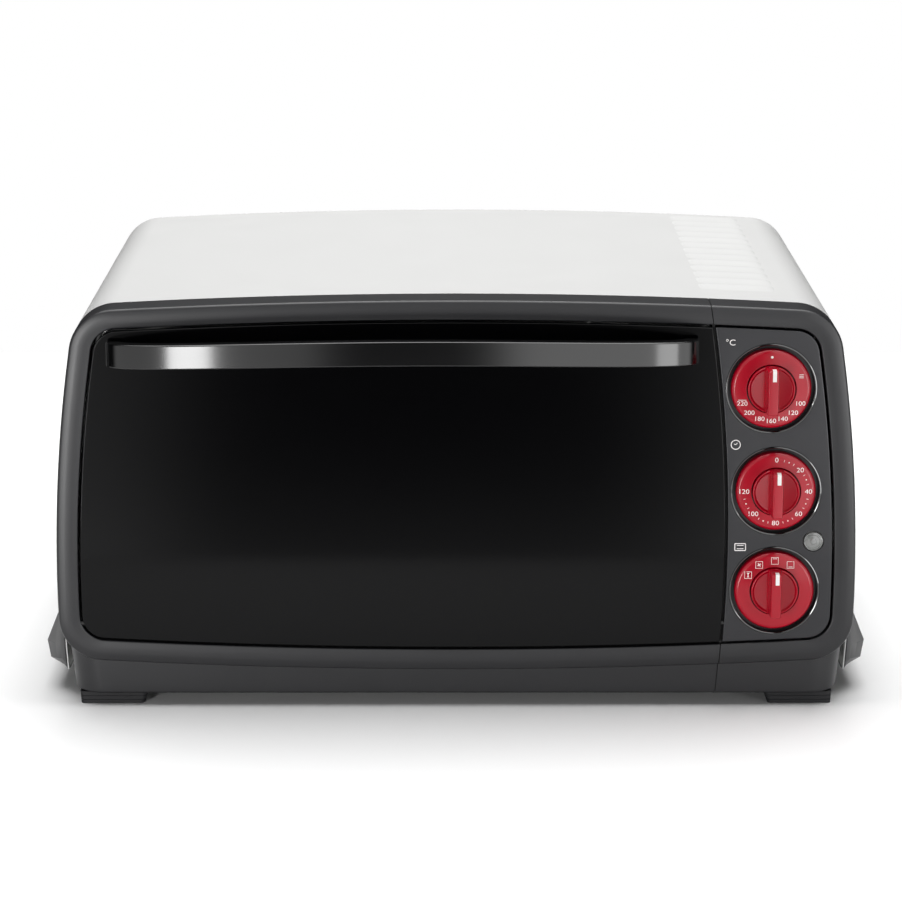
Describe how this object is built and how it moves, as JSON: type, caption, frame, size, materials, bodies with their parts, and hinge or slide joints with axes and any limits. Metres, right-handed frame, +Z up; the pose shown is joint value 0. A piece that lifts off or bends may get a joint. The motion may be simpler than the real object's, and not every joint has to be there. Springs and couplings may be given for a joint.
{
  "type": "toaster oven",
  "caption": "Compact countertop toaster oven: barrel-fronted case, drop-down dark glass door with a bowed handle, a column of dial knobs, side lifting grips and low feet.",
  "frame": {"origin": "centre of the whole oven's footprint box, on the surface the feet stand on", "axes": "+X to the right seen from the front, +Y to the back, +Z up; the door and handle face -Y"},
  "size_m": [0.4852, 0.388, 0.2407],
  "materials": {
    "white_enamel": "gloss",
    "grey_moulding": "satin",
    "dark_moulding": "matte",
    "panel_moulding": "satin",
    "dark_glass": "polished",
    "clear_glass": "polished",
    "gloss_black": "gloss",
    "red_plastic": "satin",
    "white_plastic": "satin",
    "lamp_lens": "translucent",
    "sheet_steel": "aluminised",
    "bright_steel": "polished",
    "element_steel": "oxidised",
    "black_enamel": "enamel",
    "rubber": "matte",
    "phenolic": "matte"
  },
  "bodies": {
    "oven": {"wrap_cover": "white_enamel", "door_surround": "grey_moulding", "control_surround": "grey_moulding", "left_grip": "grey_moulding", "right_grip": "grey_moulding", "front_left_foot": "dark_moulding", "front_right_foot": "dark_moulding", "rear_left_foot": "dark_moulding", "rear_right_foot": "dark_moulding", "left_wall_spacer": "dark_moulding", "right_wall_spacer": "dark_moulding", "control_panel": "panel_moulding", "temperature_dial": "red_plastic", "timer_dial": "red_plastic", "function_dial": "red_plastic", "pilot_lamp_body": "white_plastic", "pilot_lens": "lamp_lens", "back_panel": "sheet_steel", "base_pan": "sheet_steel", "cavity_liner": "sheet_steel", "cavity_flange": "sheet_steel", "heat_shield": "sheet_steel", "crumb_tray": "sheet_steel", "fan_guard": "sheet_steel", "fan_motor": "sheet_steel", "left_rail": "bright_steel", "right_rail": "bright_steel", "upper_front_element": "element_steel", "upper_rear_element": "element_steel", "lower_front_element": "element_steel", "lower_rear_element": "element_steel", "cord_gland": "rubber", "terminal_block": "phenolic", "thermostat_body": "phenolic", "timer_body": "phenolic", "selector_switch": "phenolic"},
    "door": {"door_glass": "dark_glass", "door_frame": "sheet_steel", "door_inner_glass": "clear_glass", "door_handle": "gloss_black", "left_handle_mount": "gloss_black", "right_handle_mount": "gloss_black", "left_hinge": "black_enamel", "right_hinge": "black_enamel", "left_door_stay": "bright_steel", "right_door_stay": "bright_steel"},
    "rack": {"wire_rack": "bright_steel", "baking_tray": "black_enamel"},
    "temperature_control": {"temperature_knob": "red_plastic", "temperature_spindle": "bright_steel", "temperature_pointer": "white_plastic"},
    "timer_control": {"timer_knob": "red_plastic", "timer_spindle": "bright_steel", "timer_pointer": "white_plastic"},
    "function_control": {"function_knob": "red_plastic", "function_spindle": "bright_steel", "function_pointer": "white_plastic"},
    "fan": {"fan_blade": "bright_steel", "fan_shaft": "bright_steel"}
  },
  "joints": [
    {"name": "door_hinge", "type": "hinge", "parent": "oven", "child": "door", "pos_m": [0, -0.156, 0.0505], "axis": [1, 0, 0], "range_deg": [0, 85], "stiffness_Nm_per_rad": 0.5, "springref_deg": -17.19},
    {"name": "rack_slide", "type": "slide", "parent": "oven", "child": "rack", "axis": [0, -1, 0], "range_m": [0, 0.08]},
    {"name": "temperature_turn", "type": "hinge", "parent": "oven", "child": "temperature_control", "pos_m": [0.18, -0.158, 0.1897], "axis": [0, 1, 0], "range_deg": [0, 245]},
    {"name": "timer_turn", "type": "hinge", "parent": "oven", "child": "timer_control", "pos_m": [0.1839, -0.158, 0.1295], "axis": [0, 1, 0], "range_deg": [0, 270]},
    {"name": "function_turn", "type": "hinge", "parent": "oven", "child": "function_control", "pos_m": [0.1841, -0.158, 0.0704], "axis": [0, 1, 0], "range_deg": [-57, 28]},
    {"name": "fan_spin", "type": "hinge", "parent": "oven", "child": "fan", "pos_m": [-0.036, -0.158, 0.134], "axis": [0, 1, 0], "continuous": true}
  ],
  "couplings": [
    {"joint": "rack_slide", "follows": "door_hinge", "m_per_rad": 0.05}
  ]
}
